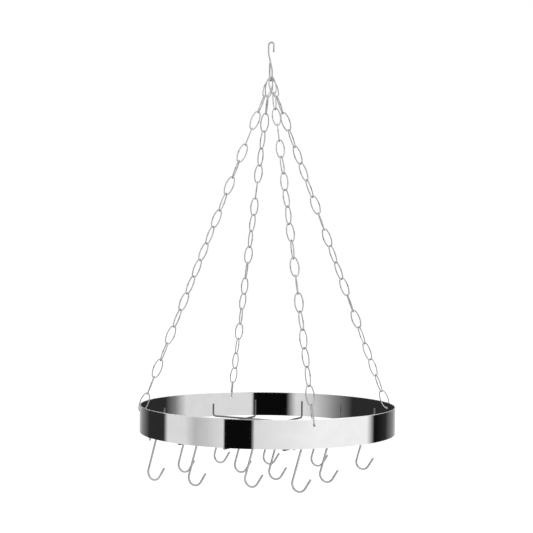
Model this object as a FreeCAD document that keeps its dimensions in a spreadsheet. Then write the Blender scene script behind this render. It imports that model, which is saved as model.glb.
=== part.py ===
"""Round hanging pot rack: a polished steel band on four chains, with a wire grid and twelve S-hooks.

Frame: +Z up, millimetres. The origin is the seat of the top hook: the point inside its crook that
rests on the ceiling hook. X lies across the long grid rods and Y lies along them.
"""
import FreeCAD, Part
import Sketcher
import math
import os

from FreeCAD import Placement, Rotation, Vector

doc = FreeCAD.newDocument("PotRack")
UP = Vector(0, 0, 1)

# ---------------------------------------------------------------- driving sizes
SIZES = {
    # the band
    "band_diameter": 400,
    "band_height": 41,
    "band_wall": 1.5,
    "band_edge_round": 0.4,
    "hole_azimuth": 42,
    "hole_diameter": 4,
    "hole_below_rim": 8.5,
    "hole_play": 0.1,
    # the grid of rods welded inside the foot of the band
    "rod_wire": 3,
    "outer_rod_inset": 86,
    "outer_cross_rod_inset": 95,
    "cross_rod_above_foot": 1,
    "cross_rod_end_rise": 21.5,
    "rod_end_rise": 29,
    "rod_bend_radius": 5,
    "weld_sink": 0.04,
    # one chain link, outside sizes except for the radius of its ends, which is the wire's middle
    "link_wire": 1.8,
    "link_length": 31.4,
    "link_width": 14.2,
    "link_end_radius": 4.1,
    "link_play": 0.1,
    "links_per_chain": 20,
    "bottom_link_turn": 10,
    "top_link_turn": -10,
    # the top hook
    "hanger_wire": 2.4,
    "hanger_crook_radius": 4.6,
    "hanger_tail": 11.5,
    "hanger_leg": 12,
    "hanger_eye_side": 8,
    "hanger_height": 58.5,
    "hanger_bend_radius": 5,
    "eye_play": 0.4,
    "eye_side_room": 0.325,
    "top_link_gap": 0.45,
    # one S-hook
    "hook_wire": 3,
    "hook_crown_radius": 4.5,
    "hook_crown_tip": 8.6,
    "hook_crown_flare": 27,
    "hook_shank": 50.4,
    "hook_shank_lean": 13,
    "hook_cup_radius": 11.2,
    "hook_cup_tip": 16.6,
    "hook_cup_flare": 29,
    "hook_play": 0.15,
}

sheet = doc.addObject("Spreadsheet::Sheet", "Sizes")
for row, (alias, value) in enumerate(SIZES.items(), start=1):
    sheet.set(f"A{row}", alias)
    sheet.set(f"B{row}", str(value))
    sheet.setAlias(f"B{row}", alias)
doc.recompute()


def size(alias):
    """A driving size, read back from the sheet."""
    return float(getattr(sheet, alias))


# ---------------------------------------------------------------- shared helpers
kept = []


def keep(piece, label):
    """Names a finished piece and puts it on the list of pieces to write."""
    piece.Label = label
    kept.append(piece)
    return piece


def bent_path(corners, bend_radii):
    """A wire's middle line: straight runs between corners, joined by tangent arcs.

    bend_radii holds one radius for each inner corner.
    """
    edges = []
    start = corners[0]
    for before, corner, after, radius in zip(corners, corners[1:], corners[2:], bend_radii):
        arriving = (corner - before).normalize()
        leaving = (after - corner).normalize()
        turn = arriving.getAngle(leaving)
        setback = radius * math.tan(turn / 2)
        arc_start = corner - arriving * setback
        arc_end = corner + leaving * setback
        inward = (leaving - arriving).normalize()
        middle = corner + inward * (radius / math.cos(turn / 2) - radius)
        if not arc_start.isEqual(start, 1e-6):
            edges.append(Part.LineSegment(start, arc_start).toShape())
        edges.append(Part.Arc(arc_start, middle, arc_end).toShape())
        start = arc_end
    edges.append(Part.LineSegment(start, corners[-1]).toShape())
    return Part.Wire(edges)


def bent_wire(label, path, start_direction, wire_alias):
    """One piece of round wire: a circle swept along a path, its thickness tied to the sheet."""
    spine = doc.addObject("Part::Feature", f"{label}_path")
    spine.Shape = path
    section = doc.addObject("Part::Circle", f"{label}_section")
    section.setExpression("Radius", f"Sizes.{wire_alias} / 2")
    section.Placement = Placement(path.OrderedVertexes[0].Point, Rotation(UP, start_direction))
    sweep = doc.addObject("Part::Sweep", label)
    sweep.Sections = [section]
    sweep.Spine = (spine, [f"Edge{number + 1}" for number in range(len(path.Edges))])
    sweep.Solid = True
    return keep(sweep, label)


# ---------------------------------------------------------------- how the pieces line up
band_radius = size("band_diameter") / 2
band_middle = band_radius - size("band_wall") / 2
hole_azimuth = size("hole_azimuth")
CORNERS = {"back_right": hole_azimuth, "back_left": 180 - hole_azimuth,
           "front_left": 180 + hole_azimuth, "front_right": 360 - hole_azimuth}

# A taut chain, from the middle of its top wire to the middle of its bottom wire.
link_centre_length = size("link_length") - size("link_wire")
link_step = size("link_length") - 2 * size("link_wire") - size("link_play")
taut_length = link_centre_length + (size("links_per_chain") - 1) * link_step
chain_lean = math.asin(band_middle / taut_length)


def outward(corner):
    """The level direction from the middle of the rack to a chain's hole."""
    return Rotation(UP, CORNERS[corner]).multVec(Vector(1, 0, 0))


# The lower loop of the top hook lies in the upright plane of the front right and back left chains,
# and is as wide as the four top links that sit in it side by side.
PLACE_IN_EYE = {"front_right": -1.5, "back_right": -0.5, "front_left": 0.5, "back_left": 1.5}
top_link_pitch = size("link_wire") + size("top_link_gap")
between_wires = (size("hanger_wire") + size("link_wire")) / 2 + size("eye_play")
eye_radius = PLACE_IN_EYE["back_left"] * top_link_pitch + between_wires + size("eye_side_room")
eye_direction = outward("back_left")
eye_middle = UP * (eye_radius - size("hanger_height"))


def link_seat(corner):
    """Where the middle of a chain's top wire lies: on the loop's wire, square to it, on its upper side."""
    round_loop = math.asin(PLACE_IN_EYE[corner] * top_link_pitch / (eye_radius - between_wires))
    loop_wire = eye_middle + (eye_direction * math.sin(round_loop) - UP * math.cos(round_loop)) * eye_radius
    loop_run = eye_direction * math.cos(round_loop) + UP * math.sin(round_loop)
    back_up = UP * math.cos(chain_lean) - outward(corner) * math.sin(chain_lean)
    square = (back_up - loop_run * back_up.dot(loop_run)).normalize()
    return loop_wire + square * between_wires


# The outer two top links sit highest, so their chains set how far the band hangs below the loop.
highest_seat = link_seat("back_left")
chain_reach = band_middle - highest_seat.dot(outward("back_left"))
link_exit_height = highest_seat.z - math.sqrt(taut_length ** 2 - chain_reach ** 2)

# The bottom link leans, so it bears on the outer top edge of its hole with the inside of its round end.
end_radius = size("link_end_radius")
inside_radius = end_radius - size("link_wire") / 2
edge_reach = size("band_wall") / 2 + end_radius * math.sin(chain_lean)
bearing_rise = end_radius * math.cos(chain_lean) - math.sqrt(inside_radius ** 2 - edge_reach ** 2)
hole_top = link_exit_height + bearing_rise + size("hole_play")
rim_height = hole_top - size("hole_diameter") / 2 + size("hole_below_rim")
cross_height = rim_height - size("band_height") + size("cross_rod_above_foot")
rod_height = cross_height - size("rod_wire") + size("weld_sink")

# Each S-hook's rod, from left to right, and its place along it: the cross rod that it hangs
# beside and the air between the two, less than nothing in front of the cross rod.
HOOK_PLACES = {
    "rod_1": (("front", -37.4), ("middle", -61.1), ("middle", 39.2)),
    "rod_2": (("front", -41.2), ("middle", -14.7), ("back", -27.1)),
    "rod_3": (("front", -7.1), ("middle", -39.3), ("back", -0.6)),
    "rod_4": (("front", -3.3), ("middle", -18.1), ("back", 4.6)),
}
outer_rod = band_radius - size("outer_rod_inset")
outer_cross_rod = band_radius - size("outer_cross_rod_inset")
ROD_PLACES = {
    label: outer_rod * (2 * number / (len(HOOK_PLACES) - 1) - 1)
    for number, label in enumerate(HOOK_PLACES)}
CROSS_ROD_PLACES = {"front": -outer_cross_rod, "middle": 0, "back": outer_cross_rod}


# ---------------------------------------------------------------- the band
def make_band():
    """A flat strip rolled into a ring, with its edges eased and two pairs of holes near the rim."""
    body = doc.addObject("PartDesign::Body", "band")
    planes = {feature.Role: feature for feature in body.Origin.OriginFeatures}
    ring = body.newObject("Sketcher::SketchObject", "band_ring")
    ring.AttachmentSupport = (planes["XY_Plane"], [""])
    ring.MapMode = "FlatFace"
    for wall in ("0", "Sizes.band_wall"):
        circle = ring.addGeometry(Part.Circle(Vector(0, 0, 0), UP, band_radius), False)
        ring.addConstraint(Sketcher.Constraint("Coincident", circle, 3, -1, 1))
        radius = ring.addConstraint(Sketcher.Constraint("Radius", circle, band_radius))
        ring.setExpression(f"Constraints[{radius}]", f"Sizes.band_diameter / 2 - {wall}")
    pad = body.newObject("PartDesign::Pad", "band_strip")
    pad.Profile = ring
    pad.Reversed = True
    pad.setExpression("Length", "Sizes.band_height")
    doc.recompute()

    hole = body.newObject("Sketcher::SketchObject", "band_hole")
    hole.AttachmentSupport = (planes["YZ_Plane"], [""])
    hole.MapMode = "FlatFace"
    circle = hole.addGeometry(Part.Circle(Vector(0, -1, 0), UP, 1), False)
    hole.addConstraint(Sketcher.Constraint("PointOnObject", circle, 3, -2))
    drop = hole.addConstraint(Sketcher.Constraint("DistanceY", circle, 3, -1, 1, 1))
    hole.setExpression(f"Constraints[{drop}]", "Sizes.hole_below_rim")
    radius = hole.addConstraint(Sketcher.Constraint("Radius", circle, 1))
    hole.setExpression(f"Constraints[{radius}]", "Sizes.hole_diameter / 2")
    pocket = body.newObject("PartDesign::Pocket", "band_chain_hole")
    pocket.Profile = hole
    pocket.Type = "ThroughAll"
    pocket.SideType = "Symmetric"
    doc.recompute()

    holes = body.newObject("PartDesign::PolarPattern", "band_chain_holes")
    holes.Originals = [pocket]
    holes.Axis = (planes["Z_Axis"], [""])
    holes.setExpression("Angle", "180 - 2 * Sizes.hole_azimuth")
    holes.Occurrences = 2
    body.Tip = holes
    doc.recompute()

    eased = body.newObject("PartDesign::Fillet", "band_eased_edges")
    rims = [f"Edge{number + 1}" for number, edge in enumerate(holes.Shape.Edges)
            if isinstance(edge.Curve, Part.Circle)
            and abs(edge.Curve.Axis.z) > 0.5 and edge.Length > math.pi * band_radius]
    eased.Base = (holes, rims)
    eased.setExpression("Radius", "min(Sizes.band_edge_round; Sizes.band_wall * 0.3)")
    body.Tip = eased
    body.Placement = Placement(UP * rim_height, Rotation(UP, hole_azimuth))
    return keep(body, "band")


# ---------------------------------------------------------------- the grid
def make_rod(label, direction, offset, height, end_rise):
    """A straight rod offset to the right of direction, its ends turned up and welded to the wall."""
    across = UP.cross(direction)
    wall_reach = band_radius - size("band_wall") - size("rod_wire") / 2 + size("weld_sink") / 2
    half = math.sqrt(wall_reach ** 2 - offset ** 2)
    middle = across * -offset + UP * height
    far = middle + direction * half
    near = middle - direction * half
    path = bent_path([near + UP * end_rise, near, far, far + UP * end_rise],
                     [size("rod_bend_radius")] * 2)
    return bent_wire(label, path, UP * -1, "rod_wire")


# ---------------------------------------------------------------- the chains
def link_path():
    """An oval: two tight ends and two long sides bowed outwards, long axis Z, in the XZ plane."""
    half_length = link_centre_length / 2
    half_width = (size("link_width") - size("link_wire")) / 2
    end = size("link_end_radius")
    end_middle = half_length - end
    side = (end_middle ** 2 + half_width ** 2 - end ** 2) / (2 * (half_width - end))
    lean = math.atan2(end_middle, side - half_width)
    meet = Vector(end * math.cos(lean), 0, end_middle + end * math.sin(lean))
    points = {}
    for name, sx, sz in (("++", 1, 1), ("-+", -1, 1), ("--", -1, -1), ("+-", 1, -1)):
        points[name] = Vector(meet.x * sx, 0, meet.z * sz)
    arcs = (("+-", Vector(half_width, 0, 0), "++"), ("++", Vector(0, 0, half_length), "-+"),
            ("-+", Vector(-half_width, 0, 0), "--"), ("--", Vector(0, 0, -half_length), "+-"))
    return [Part.Arc(points[start], middle, points[finish]).toShape()
            for start, middle, finish in arcs]


def make_link():
    """One welded link: each arc of the oval carries a quarter of the wire."""
    quarters = []
    for edge in link_path():
        start = edge.valueAt(edge.FirstParameter)
        section = Part.Circle(start, edge.tangentAt(edge.FirstParameter), size("link_wire") / 2)
        face = Part.Face(Part.Wire(section.toShape()))
        centre, axis = edge.Curve.Center, edge.Curve.Axis
        sweep_angle = math.degrees(edge.LastParameter - edge.FirstParameter)
        quarters.append(face.revolve(centre, axis, sweep_angle))
    return quarters[0].multiFuse(quarters[1:])


def place_link(top, bottom, azimuth, number, quarter_turns):
    """Where link number, counted from the top, lies on a taut chain."""
    axis = (bottom - top).normalize()
    gaps = size("links_per_chain") - 1
    spacing = ((bottom - top).Length - link_centre_length) / gaps
    centre = top + axis * (link_centre_length / 2 + (number - 1) * spacing)
    tangent = Rotation(UP, azimuth).multVec(Vector(0, 1, 0))
    tangent = (tangent - axis * tangent.dot(axis)).normalize()
    bottom_turn = size("bottom_link_turn")
    top_turn = quarter_turns * 90 + size("top_link_turn")
    turn = bottom_turn + (top_turn - bottom_turn) * (size("links_per_chain") - number) / gaps
    normal = Rotation(axis, turn).multVec(tangent)
    facing = Rotation(normal.cross(axis), normal, axis, "ZXY")
    return Placement(centre, facing)


QUARTER_TURNS = {"front_left": 18, "front_right": 17, "back_left": 15, "back_right": 16}


def make_chain(corner):
    """The top link in the loop, the run of links below it and the bottom link in the band."""
    azimuth = CORNERS[corner]
    top = link_seat(corner)
    bottom = outward(corner) * band_middle + UP * link_exit_height
    last = int(size("links_per_chain"))
    groups = {"top_link": [1], "links": range(2, last), "bottom_link": [last]}
    for part_name, numbers in groups.items():
        copies = []
        for number in numbers:
            link = chain_link.copy()
            link.Placement = place_link(top, bottom, azimuth, number, QUARTER_TURNS[corner])
            copies.append(link)
        piece = doc.addObject("Part::Feature", f"chain_{corner}_{part_name}")
        piece.Shape = Part.makeCompound(copies)
        keep(piece, f"chain_{corner}_{part_name}")


# ---------------------------------------------------------------- the top hook
def make_hanger():
    """One bent wire: an open crook above, and a narrow closed loop turned across it below."""
    crook = size("hanger_crook_radius")
    crown = size("hanger_wire") / 2
    crook_foot = crown - crook
    near = eye_direction * -eye_radius
    far = eye_direction * eye_radius
    eye_top = eye_middle.z + size("hanger_eye_side")
    eye_foot = -size("hanger_height")
    corners = [
        Vector(crook, 0, crook_foot - size("hanger_tail")),
        Vector(crook, 0, crown),
        Vector(-crook, 0, crown),
        Vector(-crook, 0, crook_foot - size("hanger_leg")),
        near + UP * eye_top,
        near + UP * eye_foot,
        far + UP * eye_foot,
        far + UP * eye_top,
        closing_tip(Vector(-crook, 0, crook_foot - size("hanger_leg")), near + UP * eye_top),
    ]
    bend = size("hanger_bend_radius")
    path = bent_path(corners, [crook, crook, bend, bend, eye_radius, eye_radius, bend])
    return bent_wire("top_hook", path, UP, "hanger_wire")


def closing_tip(shank_top, shank_foot):
    """The end of the loop's free side, just clear of the middle of the shank that it closes on."""
    along = (shank_foot - shank_top).normalize()
    beside = (eye_direction - along * eye_direction.dot(along)).normalize()
    clear = size("hanger_wire") + size("eye_play")
    return (shank_top + shank_foot) / 2 + beside * clear


# ---------------------------------------------------------------- the S-hooks
def hook_path():
    """An S in the XZ plane, hung by its crown from a rod through the origin, in balance."""
    lean = math.radians(size("hook_shank_lean"))
    flare = math.radians(size("hook_cup_flare"))
    crown_flare = math.radians(size("hook_crown_flare"))
    crown = size("hook_crown_radius")
    cup = size("hook_cup_radius")
    inner_drop = crown - size("hook_wire") / 2 - size("rod_wire") / 2 - size("hook_play")
    crown_middle = Vector(0, 0, -inner_drop)
    down = Vector(-math.sin(lean), 0, -math.cos(lean))
    right = Vector(math.cos(lean), 0, -math.sin(lean))
    shank_top = crown_middle + right * crown
    shank_foot = shank_top + down * size("hook_shank")
    cup_middle = shank_foot + right * cup
    cup_end = cup_middle + Vector(math.cos(flare), 0, -math.sin(flare)) * cup
    cup_tip = cup_end + Vector(math.sin(flare), 0, math.cos(flare)) * size("hook_cup_tip")
    crown_end = crown_middle + Vector(-math.cos(crown_flare), 0, math.sin(crown_flare)) * crown
    opening = Vector(-math.sin(crown_flare), 0, -math.cos(crown_flare))
    crown_tip = crown_end + opening * size("hook_crown_tip")
    crown_top = crown_middle + UP * crown
    cup_foot = cup_middle - UP * cup
    path = Part.Wire([
        Part.LineSegment(crown_tip, crown_end).toShape(),
        Part.Arc(crown_end, crown_top, shank_top).toShape(),
        Part.LineSegment(shank_top, shank_foot).toShape(),
        Part.Arc(shank_foot, cup_foot, cup_end).toShape(),
        Part.LineSegment(cup_end, cup_tip).toShape(),
    ])
    weight = path.CenterOfMass
    tilt = math.degrees(math.atan2(weight.x, -weight.z))
    path.rotate(Vector(0, 0, 0), Vector(0, 1, 0), tilt)
    print("S-hook turned", round(tilt, 2), "degrees to hang in balance")
    return path


def hook_along(cross_rod, air):
    """An S-hook's place along its rod, beside a cross rod and clear of it."""
    wires = (size("hook_wire") + size("rod_wire")) / 2
    return CROSS_ROD_PLACES[cross_rod] + air + math.copysign(wires, air)


# ---------------------------------------------------------------- putting it together
make_band()

for label, across in ROD_PLACES.items():
    make_rod(label, Vector(0, 1, 0), across, rod_height, size("rod_end_rise"))

for name, along in CROSS_ROD_PLACES.items():
    make_rod(f"cross_rod_{name}", Vector(1, 0, 0), -along, cross_height, size("cross_rod_end_rise"))

chain_link = make_link()
for corner in CORNERS:
    make_chain(corner)

make_hanger()

balanced = hook_path()
for number, (rod, places) in enumerate(HOOK_PLACES.items(), start=1):
    for letter, place in zip("abc", places):
        path = balanced.copy()
        path.translate(Vector(ROD_PLACES[rod], hook_along(*place), rod_height))
        bent_wire(f"s_hook_{number}{letter}", path, path.Edges[0].tangentAt(0), "hook_wire")

doc.recompute()

# ---------------------------------------------------------------- check and write
for item in doc.Objects:
    if "Invalid" in item.State or "Error" in item.State:
        raise RuntimeError(f"{item.Label} failed: {item.State}")
os.makedirs("parts", exist_ok=True)
for piece in kept:
    if piece.Shape.isNull() or not piece.Shape.isValid() or not piece.Shape.Solids:
        raise RuntimeError(f"{piece.Label} is not a sound solid")
    piece.Shape.exportStep(f"parts/{piece.Label}.step")
print(len(kept), "pieces written; rim at", round(rim_height, 2), "rods at", round(rod_height, 2))
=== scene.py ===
"""The dressed hanging pot rack: a mirror-polished steel band on four chains gathered to one hook,
with a grid of welded wires across the foot of the band and twelve S-hooks on the wires.

Metres, in the frame of the CAD model: +Z up, the origin where the top hook rests on its carrier.
"""
import math

import bmesh
import bpy
from mathutils import Matrix, Vector


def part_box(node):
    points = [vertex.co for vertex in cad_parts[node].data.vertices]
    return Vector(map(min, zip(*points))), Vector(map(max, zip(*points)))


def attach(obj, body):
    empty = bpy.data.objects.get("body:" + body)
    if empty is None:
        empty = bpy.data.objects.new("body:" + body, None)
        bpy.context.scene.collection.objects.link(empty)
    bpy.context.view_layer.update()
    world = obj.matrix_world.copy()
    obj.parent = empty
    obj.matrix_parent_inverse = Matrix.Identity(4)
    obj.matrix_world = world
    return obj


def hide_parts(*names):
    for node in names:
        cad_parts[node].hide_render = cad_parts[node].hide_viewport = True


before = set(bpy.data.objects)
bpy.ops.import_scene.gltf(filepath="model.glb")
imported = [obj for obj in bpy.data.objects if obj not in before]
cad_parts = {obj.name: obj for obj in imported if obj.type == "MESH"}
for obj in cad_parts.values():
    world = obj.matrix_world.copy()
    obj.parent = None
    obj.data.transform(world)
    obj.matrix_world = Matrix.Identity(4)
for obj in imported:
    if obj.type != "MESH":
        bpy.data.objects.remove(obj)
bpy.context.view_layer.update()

MM = 0.001
SAME_PLACE = 0.01 * MM      # points closer than this count as one
ON_WALL = 0.02 * MM         # a point this near a round wall lies on it
UP = Vector((0, 0, 1))
rack_middle = Vector((0, 0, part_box("band")[0][2]))


# ---------------------------------------------------------------- the top hook
# One piece of bright nickel-plated steel wire. It is bent cold over pins: an open crook above, and
# below it, turned across, a narrow loop that closes against the shank and holds the four chains.
HANGER_WIRE = 2.4 * MM
CROOK_RADIUS = 4.6 * MM
CROOK_TAIL = 11.5 * MM
CROOK_LEG = 12 * MM
HANGER_HEIGHT = 58.5 * MM
HANGER_BEND = 5 * MM
LOOP_RADIUS = 6.2 * MM
LOOP_SIDE = 8 * MM
LOOP_PLAY = 0.4 * MM
# The right-hand chains leave at this azimuth and the left-hand ones at the same angle from -X.
CHAIN_AZIMUTH = 42


def outward(azimuth):
    """The level direction from the middle of the rack at this azimuth in degrees."""
    return Vector((math.cos(math.radians(azimuth)), math.sin(math.radians(azimuth)), 0))


LOOP_RUN = outward(180 - CHAIN_AZIMUTH)


def linear(code, alpha=1.0):
    """An sRGB hex colour as linear red, green, blue and alpha."""
    parts = [int(code[place:place + 2], 16) / 255 for place in (1, 3, 5)]
    return [p / 12.92 if p <= 0.04045 else ((p + 0.055) / 1.055) ** 2.4 for p in parts] + [alpha]


def add_node(tree, kind, inputs=(), **settings):
    """Adds a shader node; inputs is {socket name or number: value or the socket to link from}."""
    node = tree.nodes.new("ShaderNode" + kind)
    for key, value in settings.items():
        setattr(node, key, value)
    for key, value in dict(inputs).items():
        if isinstance(value, bpy.types.NodeSocket):
            tree.links.new(value, node.inputs[key])
        else:
            node.inputs[key].default_value = value
    return node


def new_material(name):
    """An empty node material, with its tree and its output node."""
    material = bpy.data.materials.new(name)
    material.use_nodes = True
    material.node_tree.nodes.clear()
    return material, material.node_tree, add_node(material.node_tree, "OutputMaterial")


def plated_wire(name, light, dark, roughness, grain):
    """Bright-plated drawn steel wire: satin metal with a faintly clouded plate, darkened in its hollows
    by painted shade.

    light and dark are the plate's colours, roughness its lowest and highest, grain a cloud's width.
    """
    material, tree, output = new_material(name)
    place = add_node(tree, "TexCoord").outputs["Object"]
    clouds = add_node(tree, "TexNoise", {"Vector": place, "Scale": 1 / grain, "Detail": 4.0})
    # Pits and drawing marks are about 0.15 mm across; they are drawn at 0.4 mm so that they show.
    pits = add_node(tree, "TexNoise", {"Vector": place, "Scale": 1 / (0.4 * MM), "Detail": 2.0})
    spread = add_node(tree, "MapRange", {"Value": clouds.outputs["Fac"],
                                         "From Min": 0.35, "From Max": 0.65})
    colour = add_node(tree, "Mix", {0: spread.outputs["Result"], 6: linear(dark), 7: linear(light)},
                      data_type="RGBA")
    # Painted shade: the plate's colour is darkened where nearby metal of the same piece shelters the
    # wire, in bends and where wires meet.
    sheltered = add_node(tree, "AmbientOcclusion", {"Distance": 2.5 * MM}, samples=4, only_local=True)
    painted_hollow_shade = add_node(tree, "MapRange", {"Value": sheltered.outputs["AO"], "From Min": 0.25,
                                         "From Max": 0.85, "To Min": 0.55, "To Max": 1.0})
    plate_with_painted_shade = add_node(tree, "Mix", {0: 1.0, 6: colour.outputs[2], 7: painted_hollow_shade.outputs["Result"]},
                      data_type="RGBA", blend_type="MULTIPLY")
    dull = add_node(tree, "MapRange", {"Value": pits.outputs["Fac"], "From Min": 0.3, "From Max": 0.7,
                                       "To Min": roughness[0], "To Max": roughness[1]})
    bump = add_node(tree, "Bump", {"Height": pits.outputs["Fac"], "Strength": 0.12,
                                   "Distance": 0.02 * MM})
    shader = add_node(tree, "BsdfPrincipled", {"Base Color": plate_with_painted_shade.outputs[2], "Metallic": 1.0,
                                               "Roughness": dull.outputs["Result"],
                                               "Normal": bump.outputs["Normal"]})
    tree.links.new(shader.outputs[0], output.inputs["Surface"])
    return material


def push(step):
    """Pushes the selected ring of a wire straight on."""
    bpy.ops.mesh.extrude_region_move(TRANSFORM_OT_translate={"value": step})


def close_ends(piece, points, wire):
    """Caps a wire's cut ends and eases their edges."""
    for point in points:
        edit = bmesh.from_edit_mesh(piece.data)
        for vert in edit.verts:
            vert.select_set(False)
        for edge in edit.edges:
            middle = (edge.verts[0].co + edge.verts[1].co) / 2
            edge.select_set(edge.is_boundary and (middle - point).length < wire)
        bmesh.update_edit_mesh(piece.data)
        bpy.ops.mesh.edge_face_add()
        bpy.ops.mesh.bevel(offset=0.13 * wire, segments=2, affect="EDGES")


def finish_piece(piece, name, material, body, replaced, crease=40):
    """Names a piece, smooths it, gives it its finish and sets it in the place of its CAD node."""
    bpy.ops.object.select_all(action="DESELECT")
    piece.select_set(True)
    bpy.context.view_layer.objects.active = piece
    bpy.ops.object.shade_smooth_by_angle(angle=math.radians(crease))
    piece.name = name
    piece.data.name = name
    piece.data.materials.clear()
    piece.data.materials.append(material)
    # No piece shows in another's polish, as in a cleaned-up catalogue picture: only the studio does.
    piece.visible_glossy = False
    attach(piece, body)
    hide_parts(replaced)
    return piece


def bent_wire(corners, radii, wire, sides=20, degrees_a_step=8):
    """A wire bent round its corners: a ring pushed along each straight and spun round each bend."""
    corners = [Vector(corner) for corner in corners]
    heading = (corners[1] - corners[0]).normalized()
    bpy.ops.object.select_all(action="DESELECT")
    bpy.ops.mesh.primitive_circle_add(vertices=sides, radius=wire / 2, location=corners[0],
                                      rotation=heading.to_track_quat("Z", "Y").to_euler())
    piece = bpy.context.object
    bpy.ops.object.transform_apply()
    bpy.ops.object.mode_set(mode="EDIT")
    bpy.ops.mesh.select_all(action="SELECT")
    reached = corners[0]
    for before, corner, after, radius in zip(corners, corners[1:], corners[2:], radii):
        arriving = (corner - before).normalized()
        leaving = (after - corner).normalized()
        turn = arriving.angle(leaving)
        setback = radius * math.tan(turn / 2)
        bend_start = corner - arriving * setback
        if (bend_start - reached).length > SAME_PLACE:
            push(bend_start - reached)
        axis = arriving.cross(leaving).normalized()
        steps = max(3, round(math.degrees(turn) / degrees_a_step))
        bpy.ops.mesh.spin(steps=steps, angle=-turn, axis=axis,
                          center=bend_start + axis.cross(arriving) * radius)
        reached = corner + leaving * setback
    push(corners[-1] - reached)
    close_ends(piece, (corners[0], corners[-1]), wire)
    bpy.ops.mesh.select_all(action="SELECT")
    bpy.ops.mesh.normals_make_consistent(inside=False)
    bpy.ops.object.mode_set(mode="OBJECT")
    return piece


nickel_plate = plated_wire("bright_nickel_plated_wire", "#c2c2c4", "#b0b0b2", (0.34, 0.44), 5 * MM)

crook_top = HANGER_WIRE / 2
crook_foot = crook_top - CROOK_RADIUS
loop_middle = UP * (LOOP_RADIUS - HANGER_HEIGHT)
loop_top = loop_middle.z + LOOP_SIDE
shank_top = Vector((-CROOK_RADIUS, 0, crook_foot - CROOK_LEG))
shank_foot = LOOP_RUN * -LOOP_RADIUS + UP * loop_top
shank = (shank_foot - shank_top).normalized()
beside = (LOOP_RUN - shank * LOOP_RUN.dot(shank)).normalized()
hanger = bent_wire(
    [(CROOK_RADIUS, 0, crook_foot - CROOK_TAIL), (CROOK_RADIUS, 0, crook_top),
     (-CROOK_RADIUS, 0, crook_top), shank_top, shank_foot,
     LOOP_RUN * -LOOP_RADIUS - UP * HANGER_HEIGHT, LOOP_RUN * LOOP_RADIUS - UP * HANGER_HEIGHT,
     LOOP_RUN * LOOP_RADIUS + UP * loop_top,
     (shank_top + shank_foot) / 2 + beside * (HANGER_WIRE + LOOP_PLAY)],
    [CROOK_RADIUS, CROOK_RADIUS, HANGER_BEND, HANGER_BEND, LOOP_RADIUS, LOOP_RADIUS, HANGER_BEND],
    HANGER_WIRE)
finish_piece(hanger, "top_hook_wire", nickel_plate, "top_hook", "top_hook")


# ---------------------------------------------------------------- the chains
# Welded chain of zinc-plated 1.8 mm wire, 20 ovals a side. Each link is bent to an oval with full
# sides and butt-welded in the middle of one side, where a slight bead and a dull spot are left.
# Taut chains lie in straight lines, and turn a little less than a quarter from link to link.
LINK_WIRE = 1.8 * MM
LINK_LENGTH = 31.4 * MM
LINK_WIDTH = 14.2 * MM
LINK_END_RADIUS = 4.1 * MM
LINK_PLAY = 0.1 * MM
LINKS = 20
TOP_LINK_GAP = 0.45 * MM
LINK_SIDES = 14
SIDE_STEPS, END_STEPS = 16, 10
END_TURN = 10               # degrees between the end links and the level line along the band
WELD_BEAD = 0.14 * MM
WELD_LENGTH = 1.6 * MM
BAND_WALL = 1.5 * MM
BAND_RADIUS = 200 * MM
HOLE_TO_RIM = 8.5 * MM
HOLE_RADIUS = 2 * MM
CHAINS = {
    # where it leaves the middle, its place in the loop, and the quarter turns from foot to top
    "back_right": (CHAIN_AZIMUTH, -0.5, 16),
    "back_left": (180 - CHAIN_AZIMUTH, 1.5, 15),
    "front_left": (180 + CHAIN_AZIMUTH, 0.5, 18),
    "front_right": (360 - CHAIN_AZIMUTH, -1.5, 17),
}

link_long = LINK_LENGTH - LINK_WIRE
link_half_wide = (LINK_WIDTH - LINK_WIRE) / 2


def make_link():
    """One oval, long axis Z, in the XZ plane: a ring spun round the two ends and two full sides."""
    end_middle = link_long / 2 - LINK_END_RADIUS
    side = (end_middle ** 2 + link_half_wide ** 2 - LINK_END_RADIUS ** 2) / (
        2 * (link_half_wide - LINK_END_RADIUS))
    lean = math.atan2(end_middle, side - link_half_wide)
    start = Vector((LINK_END_RADIUS * math.cos(lean), 0,
                    -end_middle - LINK_END_RADIUS * math.sin(lean)))
    bpy.ops.object.select_all(action="DESELECT")
    bpy.ops.mesh.primitive_circle_add(
        vertices=LINK_SIDES, radius=LINK_WIRE / 2, location=start,
        rotation=Vector((math.sin(lean), 0, math.cos(lean))).to_track_quat("Z", "Y").to_euler())
    link = bpy.context.object
    bpy.ops.object.transform_apply()
    bpy.ops.object.mode_set(mode="EDIT")
    bpy.ops.mesh.select_all(action="SELECT")
    arcs = ((link_half_wide - side, 0, 2 * lean, SIDE_STEPS),
            (0, end_middle, math.pi - 2 * lean, END_STEPS),
            (side - link_half_wide, 0, 2 * lean, SIDE_STEPS),
            (0, -end_middle, math.pi - 2 * lean, END_STEPS))
    for x, z, turn, steps in arcs:
        bpy.ops.mesh.spin(steps=steps, angle=turn, axis=(0, 1, 0), center=(x, 0, z))
    bpy.ops.mesh.select_all(action="SELECT")
    bpy.ops.mesh.remove_doubles(threshold=SAME_PLACE)
    bpy.ops.mesh.normals_make_consistent(inside=False)
    bpy.ops.object.mode_set(mode="OBJECT")
    weld = link.data.attributes.new("weld", "FLOAT", "POINT")
    for vert, shade in zip(link.data.vertices, weld.data):
        if vert.co.x > 0:
            closeness = math.exp(-(vert.co.z / WELD_LENGTH) ** 2)
            from_wire = Vector((vert.co.x - link_half_wide, vert.co.y, 0))
            vert.co += from_wire.normalized() * WELD_BEAD * closeness
            shade.value = closeness
    return link


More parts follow.
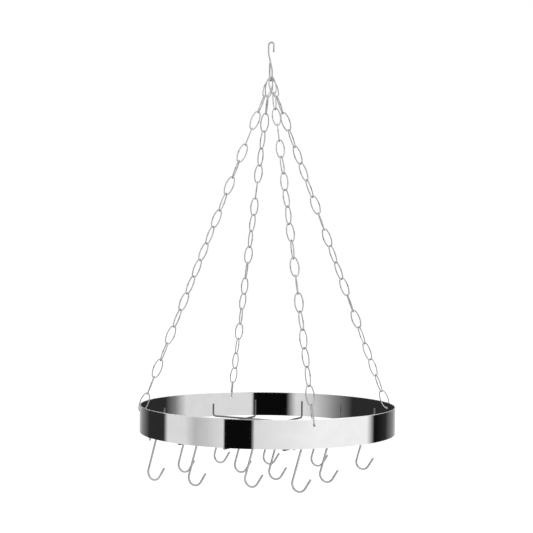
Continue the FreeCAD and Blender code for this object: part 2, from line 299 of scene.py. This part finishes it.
def top_wire_middle(azimuth, place):
    """Where the middle of a chain's top wire lies in the hanger's loop."""
    between = (HANGER_WIRE + LINK_WIRE) / 2 + LOOP_PLAY
    round_loop = math.asin(place * (LINK_WIRE + TOP_LINK_GAP) / (LOOP_RADIUS - between))
    run, rise = math.sin(round_loop), math.cos(round_loop)
    loop_wire = loop_middle + (LOOP_RUN * run - UP * rise) * LOOP_RADIUS
    along_loop = LOOP_RUN * rise + UP * run
    back_up = UP * math.cos(chain_lean) - outward(azimuth) * math.sin(chain_lean)
    return loop_wire + (back_up - along_loop * back_up.dot(along_loop)).normalized() * between


def link_place(top, bottom, azimuth, number, quarter_turns):
    """The matrix that sets link number, counted from the top, on a taut chain."""
    axis = (bottom - top).normalized()
    gaps = LINKS - 1
    spacing = ((bottom - top).length - link_long) / gaps
    centre = top + axis * (link_long / 2 + (number - 1) * spacing)
    tangent = outward(azimuth + 90)
    tangent = (tangent - axis * tangent.dot(axis)).normalized()
    turn = END_TURN + (quarter_turns * 90 - 2 * END_TURN) * (LINKS - number) / gaps
    normal = Matrix.Rotation(math.radians(turn), 3, axis) @ tangent
    facing = Matrix((normal.cross(axis), normal, axis)).transposed()
    return Matrix.Translation(centre) @ facing.to_4x4()


def zinc_plate():
    """Bright zinc on welded chain: bluish and light, clouded, with a dull grey spot at each weld."""
    material = plated_wire("bright_zinc_plated_chain", "#c8c9cb", "#b6b7b9", (0.34, 0.44), 4 * MM)
    tree = material.node_tree
    shader = next(node for node in tree.nodes if node.type == "BSDF_PRINCIPLED")
    plate = shader.inputs["Base Color"].links[0].from_socket
    weld = add_node(tree, "Attribute", attribute_name="weld").outputs["Fac"]
    spot = add_node(tree, "Math", {0: weld, 1: 0.45}, operation="MULTIPLY")
    welded = add_node(tree, "Mix", {0: spot.outputs[0], 6: plate, 7: linear("#5d5c5a")},
                      data_type="RGBA")
    tree.links.new(welded.outputs[2], shader.inputs["Base Color"])
    return material


taut = link_long + (LINKS - 1) * (LINK_LENGTH - 2 * LINK_WIRE - LINK_PLAY)
chain_lean = math.asin((BAND_RADIUS - BAND_WALL / 2) / taut)
highest = top_wire_middle(*CHAINS["back_left"][:2])
reach = BAND_RADIUS - BAND_WALL / 2 - highest.dot(LOOP_RUN)
exit_height = highest.z - math.sqrt(taut ** 2 - reach ** 2)

zinc = zinc_plate()
pattern_link = make_link()
for corner, (azimuth, place, quarter_turns) in CHAINS.items():
    top = top_wire_middle(azimuth, place)
    bottom = outward(azimuth) * (BAND_RADIUS - BAND_WALL / 2) + UP * exit_height
    groups = {"top_link": [1], "links": range(2, LINKS), "bottom_link": [LINKS]}
    for group, numbers in groups.items():
        bpy.ops.object.select_all(action="DESELECT")
        for number in numbers:
            copy = bpy.data.objects.new("link", pattern_link.data.copy())
            bpy.context.collection.objects.link(copy)
            copy.data.transform(link_place(top, bottom, azimuth, number, quarter_turns))
            copy.select_set(True)
            bpy.context.view_layer.objects.active = copy
        if len(numbers) > 1:
            bpy.ops.object.join()
        node = f"chain_{corner}_{group}"
        finish_piece(bpy.context.object, f"{node}_wire", zinc, "rack", node)
bpy.data.objects.remove(pattern_link)


# ---------------------------------------------------------------- the band
# A strip of stainless steel, 41 by 1.5 mm, rolled into a ring, butt-welded and polished to a mirror
# inside and out. Its edges are eased, and four drilled holes near the rim take the chains.
BAND_HEIGHT = 41 * MM
EDGE_ROUND = 0.4 * MM
HOLE_EASE = 0.25 * MM
# The width of the rim's top edge: rougher satin there, and a painted highlight in its colour.
SATIN_AND_HIGHLIGHT_EDGE = 1 * MM
SMEAR = 35 * MM
SEGMENTS = 360

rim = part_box("band")[1][2]


def select_edges(piece, wanted):
    """Selects, in edit mode, the edges whose two ends both pass the test, and no others."""
    edit = bmesh.from_edit_mesh(piece.data)
    for vert in edit.verts:
        vert.select_set(False)
    for edge in edit.edges:
        edge.select_set(all(wanted(vert.co) for vert in edge.verts))
    bmesh.update_edit_mesh(piece.data)


def drop_radial_edges(piece, least):
    """Takes out of the selection the edges that cross a ring's wall by more than least."""
    edit = bmesh.from_edit_mesh(piece.data)
    for edge in edit.edges:
        near, far = (math.hypot(*vert.co.xy) for vert in edge.verts)
        if edge.select and abs(near - far) > least:
            edge.select_set(False)
    bmesh.update_edit_mesh(piece.data)


def apply_modifier(piece, kind, **settings):
    """Adds a modifier to the active piece and applies it."""
    modifier = piece.modifiers.new(kind, kind)
    for key, value in settings.items():
        setattr(modifier, key, value)
    bpy.context.view_layer.objects.active = piece
    bpy.ops.object.modifier_apply(modifier=kind)


def round_normals(piece, radii):
    """Gives a rolled ring's walls the normals of round walls, so that a mirror finish is even."""
    mesh = piece.data
    normals = [corner.vector.copy() for corner in mesh.corner_normals]
    for face in mesh.polygons:
        out = Vector((face.center.x, face.center.y, 0)).normalized()
        side = face.normal.dot(out)
        if abs(side) < 0.999:
            continue
        for corner in face.loop_indices:
            spot = mesh.vertices[mesh.loops[corner].vertex_index].co
            flat = Vector((spot.x, spot.y, 0))
            if min(abs(flat.length - radius) for radius in radii) < ON_WALL:
                normals[corner] = flat.normalized() * math.copysign(1, side)
    mesh.normals_split_custom_set(normals)


def mirror_steel():
    """Stainless strip polished on a mop: faint lines and smears, and a deburred satin rim whose top edge
    is also coloured lighter as a painted highlight.
    """
    material, tree, output = new_material("mirror_polished_stainless_strip")
    place = add_node(tree, "TexCoord").outputs["Object"]
    # The mop leaves lines about 0.05 mm apart; they are drawn 0.5 mm apart so that they show.
    along = add_node(tree, "Mapping", {"Vector": place, "Scale": (6.0, 6.0, 2000.0)})
    lines = add_node(tree, "TexNoise", {"Vector": along.outputs["Vector"], "Scale": 1.0,
                                        "Detail": 3.0})
    smears = add_node(tree, "TexNoise", {"Vector": place, "Scale": 1 / SMEAR, "Detail": 5.0,
                                         "Distortion": 1.2})
    wiped = add_node(tree, "MapRange", {"Value": smears.outputs["Fac"], "From Min": 0.5, "From Max": 0.75,
                                        "To Min": 0.0, "To Max": 0.035})
    lined = add_node(tree, "MapRange", {"Value": lines.outputs["Fac"], "From Min": 0.35, "From Max": 0.65,
                                        "To Min": 0.025, "To Max": 0.05})
    gloss = add_node(tree, "Math", {0: wiped.outputs["Result"], 1: lined.outputs["Result"]},
                     operation="ADD")
    height = add_node(tree, "SeparateXYZ", {"Vector": place}).outputs["Z"]
    # The top edge of the rim: a rougher satin finish, and a painted highlight in the colour below.
    satin_rim_and_painted_highlight = add_node(tree, "MapRange", {"Value": height, "From Min": rim - SATIN_AND_HIGHLIGHT_EDGE,
                                           "From Max": rim - 0.7 * SATIN_AND_HIGHLIGHT_EDGE})
    rough = add_node(tree, "Mix", {0: satin_rim_and_painted_highlight.outputs["Result"], 2: gloss.outputs[0], 3: 0.45})
    tone = add_node(tree, "MapRange", {"Value": smears.outputs["Fac"],
                                       "From Min": 0.3, "From Max": 0.7})
    steel = add_node(tree, "Mix", {0: tone.outputs["Result"], 6: linear("#d3d3d3"),
                                   7: linear("#cdcdcd")}, data_type="RGBA")
    # Painted highlight: the top edge of the rim takes a lighter grey than the polished steel.
    colour = add_node(tree, "Mix", {0: satin_rim_and_painted_highlight.outputs["Result"], 6: steel.outputs[2],
                                    7: linear("#f2f2f2")}, data_type="RGBA")
    bump = add_node(tree, "Bump", {"Height": lines.outputs["Fac"], "Strength": 0.03,
                                   "Distance": 0.01 * MM})
    shader = add_node(tree, "BsdfPrincipled", {"Base Color": colour.outputs[2], "Metallic": 1.0,
                                               "Roughness": rough.outputs[0],
                                               "Normal": bump.outputs["Normal"]})
    tree.links.new(shader.outputs[0], output.inputs["Surface"])
    return material


bpy.ops.object.select_all(action="DESELECT")
bpy.ops.mesh.primitive_cylinder_add(vertices=SEGMENTS, radius=BAND_RADIUS, depth=BAND_HEIGHT,
                                    end_fill_type="NOTHING", location=(0, 0, rim - BAND_HEIGHT / 2))
band = bpy.context.object
bpy.ops.object.transform_apply()
apply_modifier(band, "SOLIDIFY", thickness=BAND_WALL, offset=-1, use_even_offset=True)
bpy.ops.object.mode_set(mode="EDIT")
for edge_height in (rim, rim - BAND_HEIGHT):
    select_edges(band, lambda spot: abs(spot.z - edge_height) < SAME_PLACE)
    drop_radial_edges(band, 0.1 * MM)
    bpy.ops.mesh.bevel(offset=EDGE_ROUND, segments=4, affect="EDGES")
bpy.ops.object.mode_set(mode="OBJECT")

hole_height = rim - HOLE_TO_RIM
for azimuth in (CHAIN_AZIMUTH, 180 - CHAIN_AZIMUTH):
    bpy.ops.object.select_all(action="DESELECT")
    bpy.ops.mesh.primitive_cylinder_add(
        vertices=32, radius=HOLE_RADIUS, depth=2.2 * BAND_RADIUS, location=(0, 0, hole_height),
        rotation=(0, math.pi / 2, math.radians(azimuth)))
    drill = bpy.context.object
    apply_modifier(band, "BOOLEAN", operation="DIFFERENCE", object=drill, solver="EXACT")
    bpy.data.objects.remove(drill)


def on_hole(spot):
    """True on the wall of one of the four drilled holes."""
    flat = Vector((spot.x, spot.y, 0))
    for azimuth, _, _ in CHAINS.values():
        along = flat.dot(outward(azimuth))
        aside = flat.dot(outward(azimuth + 90))
        if along > 0 and abs(math.hypot(aside, spot.z - hole_height) - HOLE_RADIUS) < ON_WALL:
            return True
    return False


bpy.ops.object.select_all(action="DESELECT")
band.select_set(True)
bpy.context.view_layer.objects.active = band
bpy.ops.object.mode_set(mode="EDIT")
select_edges(band, on_hole)
drop_radial_edges(band, 0.5 * MM)
bpy.ops.mesh.bevel(offset=HOLE_EASE, segments=2, affect="EDGES")
bpy.ops.object.mode_set(mode="OBJECT")
finish_piece(band, "band_strip", mirror_steel(), "rack", "band", crease=30)
round_normals(band, (BAND_RADIUS, BAND_RADIUS - BAND_WALL))


# ---------------------------------------------------------------- the grid
# Seven lengths of 3 mm bright-drawn steel wire, nickel-plated after welding. Three cross rods lie on
# four long rods. Each wire's ends are bent up and spot-welded to the inside of the band.
ROD_WIRE = 3 * MM
ROD_BEND = 5 * MM
ROD_END_RISE = 29 * MM
CROSS_ROD_END_RISE = 21.5 * MM
WELD_SINK = 0.04 * MM
OUTER_ROD = 114 * MM
OUTER_CROSS_ROD = 105 * MM
SPOT_WELD = 1.1 * MM
SPOT_WELD_FLATNESS = 0.45
SPOT_WELD_OUT = 0.46        # of the wire, from its middle towards the band
SPOT_WELD_HEIGHTS = (0.45, 0.8)     # of the upturned end

rod_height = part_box("rod_1")[0][2] + ROD_WIRE / 2
cross_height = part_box("cross_rod_middle")[0][2] + ROD_WIRE / 2
wall_reach = BAND_RADIUS - BAND_WALL - ROD_WIRE / 2 + WELD_SINK / 2


def spot_weld(place, facing):
    """A small flattened bead of fused metal, thin along facing."""
    bpy.ops.mesh.primitive_uv_sphere_add(segments=14, ring_count=8, radius=SPOT_WELD, location=place,
                                         rotation=facing.to_track_quat("Z", "Y").to_euler(),
                                         scale=(1, 1, SPOT_WELD_FLATNESS))
    bpy.ops.object.transform_apply()
    return bpy.context.object


def make_rod(node, direction, middle, end_rise, crossings):
    """One grid wire with its ends turned up, a weld bead at each end and at each crossing given."""
    offset = (middle - direction * middle.dot(direction)).xy.length
    half = math.sqrt(wall_reach ** 2 - offset ** 2)
    near, far = middle - direction * half, middle + direction * half
    wire = bent_wire([near + UP * end_rise, near, far, far + UP * end_rise], [ROD_BEND] * 2, ROD_WIRE)
    beads = []
    for end in (near, far):
        wall = Vector((end.x, end.y, 0)).normalized()
        for height in SPOT_WELD_HEIGHTS:
            spot = end + wall * ROD_WIRE * SPOT_WELD_OUT + UP * end_rise * height
            beads.append(spot_weld(spot, wall))
    for spot in crossings:
        beads.append(spot_weld(spot, UP))
    bpy.ops.object.select_all(action="DESELECT")
    for piece in beads + [wire]:
        piece.select_set(True)
    bpy.context.view_layer.objects.active = wire
    bpy.ops.object.join()
    finish_piece(wire, f"{node}_wire", rod_plate, "rack", node)


rod_plate = plated_wire("nickel_plated_grid_wire", "#7e7e80", "#6e6e70", (0.34, 0.44), 6 * MM)
rod_lines = [OUTER_ROD * step / 3 for step in (-3, -1, 1, 3)]
cross_lines = {"front": -OUTER_CROSS_ROD, "middle": 0, "back": OUTER_CROSS_ROD}
crossing_height = (rod_height + cross_height) / 2
for number, across in enumerate(rod_lines, start=1):
    crossings = [Vector((across, along, crossing_height)) for along in cross_lines.values()]
    make_rod(f"rod_{number}", Vector((0, 1, 0)), Vector((across, 0, rod_height)), ROD_END_RISE,
             crossings)
for side, along in cross_lines.items():
    make_rod(f"cross_rod_{side}", Vector((1, 0, 0)), Vector((0, along, cross_height)),
             CROSS_ROD_END_RISE, [])


# ---------------------------------------------------------------- the S-hooks
# Twelve hooks of 3 mm bright-plated steel wire, bent cold round two pins: a small crown over the
# grid wire, a leaning shank and a wide cup with a straight, flared tip. Both ends are sheared.
HOOK_WIRE = 3 * MM
CROWN_RADIUS = 4.5 * MM
CROWN_TIP = 8.6 * MM
CROWN_FLARE = math.radians(27)
SHANK = 50.4 * MM
SHANK_LEAN = math.radians(13)
CUP_RADIUS = 11.2 * MM
CUP_TIP = 16.6 * MM
CUP_FLARE = math.radians(29)
CROWN_STEPS, CUP_STEPS = 20, 22
HOOK_PLAY = 0.15 * MM
HOOK_HANG = math.radians(3.15)
HOOK_PLACES = {
    # the middle of each hook along its grid wire, in millimetres, front to back
    1: (-145.4, -64.1, 42.2),
    2: (-149.2, -17.7, 74.9),
    3: (-115.1, -42.3, 101.4),
    4: (-111.3, -21.1, 112.6),
}


def spin_round(centre, turn, steps):
    """Spins the selected ring of a wire in the XZ plane, clockwise as seen from the front."""
    bpy.ops.mesh.spin(steps=steps, angle=turn, axis=(0, 1, 0), center=centre)


def make_s_hook():
    """One S-hook, hung in balance from a grid wire through the origin."""
    drop = CROWN_RADIUS - HOOK_WIRE / 2 - ROD_WIRE / 2 - HOOK_PLAY
    crown = UP * -drop
    down = Vector((-math.sin(SHANK_LEAN), 0, -math.cos(SHANK_LEAN)))
    right = Vector((math.cos(SHANK_LEAN), 0, -math.sin(SHANK_LEAN)))
    crown_end = crown + Vector((-math.cos(CROWN_FLARE), 0, math.sin(CROWN_FLARE))) * CROWN_RADIUS
    opening = Vector((-math.sin(CROWN_FLARE), 0, -math.cos(CROWN_FLARE)))
    tip = crown_end + opening * CROWN_TIP
    cup = crown + right * CROWN_RADIUS + down * SHANK + right * CUP_RADIUS
    cup_end = cup + Vector((math.cos(CUP_FLARE), 0, -math.sin(CUP_FLARE))) * CUP_RADIUS
    cup_tip = Vector((math.sin(CUP_FLARE), 0, math.cos(CUP_FLARE))) * CUP_TIP
    bpy.ops.object.select_all(action="DESELECT")
    bpy.ops.mesh.primitive_circle_add(vertices=20, radius=HOOK_WIRE / 2, location=tip,
                                      rotation=opening.to_track_quat("Z", "Y").to_euler())
    hook = bpy.context.object
    bpy.ops.object.transform_apply()
    bpy.ops.object.mode_set(mode="EDIT")
    bpy.ops.mesh.select_all(action="SELECT")
    push(opening * -CROWN_TIP)
    spin_round(crown, -(math.pi - CROWN_FLARE + SHANK_LEAN), CROWN_STEPS)
    push(down * SHANK)
    spin_round(cup, math.pi + SHANK_LEAN - CUP_FLARE, CUP_STEPS)
    push(cup_tip)
    close_ends(hook, (tip, cup_end + cup_tip), HOOK_WIRE)
    bpy.ops.mesh.select_all(action="SELECT")
    bpy.ops.mesh.normals_make_consistent(inside=False)
    bpy.ops.object.mode_set(mode="OBJECT")
    hook.data.transform(Matrix.Rotation(HOOK_HANG, 4, "Y"))
    return hook


hook_plate = plated_wire("bright_plated_hook_wire", "#cacacb", "#b8b8ba", (0.36, 0.46), 7 * MM)
pattern_hook = make_s_hook()
for rod, places in HOOK_PLACES.items():
    for letter, along in zip("abc", places):
        node = f"s_hook_{rod}{letter}"
        hook = bpy.data.objects.new(node, pattern_hook.data.copy())
        bpy.context.collection.objects.link(hook)
        hook.data.transform(Matrix.Translation((rod_lines[rod - 1], along * MM, rod_height)))
        finish_piece(hook, f"{node}_wire", hook_plate, node, node)
bpy.data.objects.remove(pattern_hook)


# ---------------------------------------------------------------- the studio
# A pale floor under the rack and a plain white surround. A tall drum of grey, white and black cards
# stands round the rack for the polished band to mirror; only reflections see it.
FLOOR_HEIGHT = -1.75
FLOOR_RADIUS = 40
FLOOR_IN_MIRRORS = 0.45     # so that polished steel keeps an outline against a floor that it mirrors
SURROUND_LIGHT = 0.55       # the share of the white surround that lights the rack
CARD_STRENGTH = 1.5
DRUM_RADIUS = 1.3
DRUM_TOP = 0.15
VIEW_TURN = math.radians(29.209)

bpy.context.scene.view_settings.view_transform = "Standard"


def seen_directly(tree, in_mirrors=1.0):
    """One for a camera ray, a share for a mirror ray and nothing for rays that only carry light."""
    paths = add_node(tree, "LightPath")
    mirrored = add_node(tree, "Math", {0: paths.outputs["Is Glossy Ray"], 1: in_mirrors},
                        operation="MULTIPLY")
    seen = add_node(tree, "Math", {0: paths.outputs["Is Camera Ray"], 1: mirrored.outputs[0]},
                    operation="MAXIMUM")
    return seen.outputs[0]


def floor_material():
    """A pale painted floor that looks white and still takes the shadows."""
    material, tree, output = new_material("pale_floor")
    diffuse = add_node(tree, "BsdfDiffuse", {"Color": linear("#c4c4c4")})
    glow = add_node(tree, "Emission", {"Color": linear("#e8e8e8")})
    both = add_node(tree, "AddShader", {0: diffuse.outputs[0], 1: glow.outputs[0]})
    seen = seen_directly(tree, in_mirrors=FLOOR_IN_MIRRORS)
    mix = add_node(tree, "MixShader", {0: seen, 1: diffuse.outputs[0], 2: both.outputs[0]})
    tree.links.new(mix.outputs[0], output.inputs["Surface"])
    return material


bpy.ops.object.select_all(action="DESELECT")
bpy.ops.mesh.primitive_circle_add(vertices=64, radius=FLOOR_RADIUS, fill_type="NGON",
                                  location=(0, 0, FLOOR_HEIGHT))
floor = bpy.context.object
bpy.ops.object.transform_apply()
floor.name = "floor"
floor.data.materials.append(floor_material())


# The studio's cards: plain greys, at whole degrees from the camera to the right. The outside and
# the inside of the band have a set each, and neighbouring cards fade into one another.
BLACK, CHARCOAL, GREY, SILVER, PALE, WHITE = (
    "#0a0a0a", "#2a2a2a", "#808080", "#b8b8b8", "#dcdcdc", "#f4f4f4")
OUTSIDE_CARDS = (
    (-180, WHITE), (-140, GREY), (-120, CHARCOAL), (-95, CHARCOAL), (-90, PALE), (-70, PALE),
    (-60, SILVER), (-35, PALE), (-34, BLACK), (-12, BLACK), (-10, PALE), (40, WHITE), (90, WHITE),
    (100, BLACK), (120, CHARCOAL), (140, GREY), (180, WHITE))
INSIDE_CARDS = (
    (-180, CHARCOAL), (-95, CHARCOAL), (-75, GREY), (-40, PALE), (-30, PALE), (-20, BLACK),
    (14, BLACK), (16, PALE), (90, PALE), (105, GREY), (120, CHARCOAL), (180, CHARCOAL))


def card_ramp(tree, turn, cards):
    """A ring of cards: a colour ramp round the drum, made from degrees and greys."""
    ramp = add_node(tree, "ValToRGB", {0: turn})
    stops = ramp.color_ramp.elements
    while len(stops) > 1:
        stops.remove(stops[0])
    for place, (degrees, grey) in enumerate(cards):
        at = (degrees + 180) / 360
        stop = stops[0] if place == 0 else stops.new(at)
        stop.position = at
        stop.color = linear(grey)
    return add_node(tree, "Emission", {"Color": ramp.outputs[0], "Strength": CARD_STRENGTH})


def card_material():
    """The drum's cards. A ray from the near half of the rack is short and sees the outside set."""
    material, tree, output = new_material("reflected_cards")
    place = add_node(tree, "TexCoord").outputs["Object"]
    turned = add_node(tree, "Mapping", {"Vector": place, "Rotation": (0, 0, math.pi / 2 - VIEW_TURN)})
    turn = add_node(tree, "TexGradient", {"Vector": turned.outputs["Vector"]}, gradient_type="RADIAL")
    outside = card_ramp(tree, turn.outputs["Fac"], OUTSIDE_CARDS)
    inside = card_ramp(tree, turn.outputs["Fac"], INSIDE_CARDS)
    length = add_node(tree, "LightPath").outputs["Ray Length"]
    far = add_node(tree, "Math", {0: length, 1: DRUM_RADIUS}, operation="GREATER_THAN")
    mix = add_node(tree, "MixShader", {0: far.outputs[0], 1: outside.outputs[0], 2: inside.outputs[0]})
    tree.links.new(mix.outputs[0], output.inputs["Surface"])
    return material


bpy.ops.object.select_all(action="DESELECT")
bpy.ops.mesh.primitive_cylinder_add(
    vertices=180, radius=DRUM_RADIUS, depth=DRUM_TOP - FLOOR_HEIGHT, end_fill_type="NOTHING",
    location=(0, 0, (DRUM_TOP + FLOOR_HEIGHT) / 2))
drum = bpy.context.object
bpy.ops.object.transform_apply()
drum.name = "reflected_cards"
drum.data.materials.append(card_material())
for ray in ("camera", "diffuse", "shadow", "transmission", "volume_scatter"):
    setattr(drum, f"visible_{ray}", False)

world = bpy.data.worlds.new("white_surround")
bpy.context.scene.world = world
world.use_nodes = True
world.node_tree.nodes.clear()
strength = add_node(world.node_tree, "MapRange", {"Value": seen_directly(world.node_tree),
                                                  "To Min": SURROUND_LIGHT, "To Max": 1.0})
surround = add_node(world.node_tree, "Background", {"Color": linear("#ffffff"),
                                                    "Strength": strength.outputs["Result"]})
add_node(world.node_tree, "OutputWorld", {"Surface": surround.outputs[0]})

LAMPS = {
    # where it stands, its width across and its power in watts
    "key_light": ((1.1, -2.0, 1.3), 1.6, 42),
    "fill_light": ((-2.2, -0.8, 0.8), 2.0, 22),
    "back_light": ((0.2, 2.2, 1.2), 1.8, 20),
}
for name, (place, size, power) in LAMPS.items():
    bpy.ops.object.light_add(type="AREA", location=place)
    lamp = bpy.context.object
    lamp.name = name
    lamp.data.shape = "DISK"
    lamp.data.size = size
    lamp.data.energy = power
    aim = rack_middle - Vector(place)
    lamp.visible_glossy = False
    lamp.rotation_euler = aim.to_track_quat("-Z", "Y").to_euler()


# ---------------------------------------------------------------- the camera
# The photograph's view: from the front right, a little above the band, with a long lens.
CAMERA_LENS = 67.15
CAMERA_SHIFT = 0.1004
CAMERA_RIGHT, CAMERA_BACK, CAMERA_ABOVE_RIM = 0.7605, -1.3663, 0.1682
CAMERA_DIP = math.radians(1.301)
CAMERA_ROLL = math.radians(0.599)

bpy.ops.object.camera_add()
camera = bpy.context.object
camera.name = "camera"
camera.data.lens = CAMERA_LENS
camera.data.shift_y = CAMERA_SHIFT
camera.data.sensor_width = 36
camera.data.clip_end = 200
camera.matrix_world = (Matrix.Translation((CAMERA_RIGHT, CAMERA_BACK, rim + CAMERA_ABOVE_RIM))
                       @ Matrix.Rotation(VIEW_TURN, 4, "Z")
                       @ Matrix.Rotation(math.pi / 2 - CAMERA_DIP, 4, "X")
                       @ Matrix.Rotation(CAMERA_ROLL, 4, "Z"))
bpy.context.scene.camera = camera
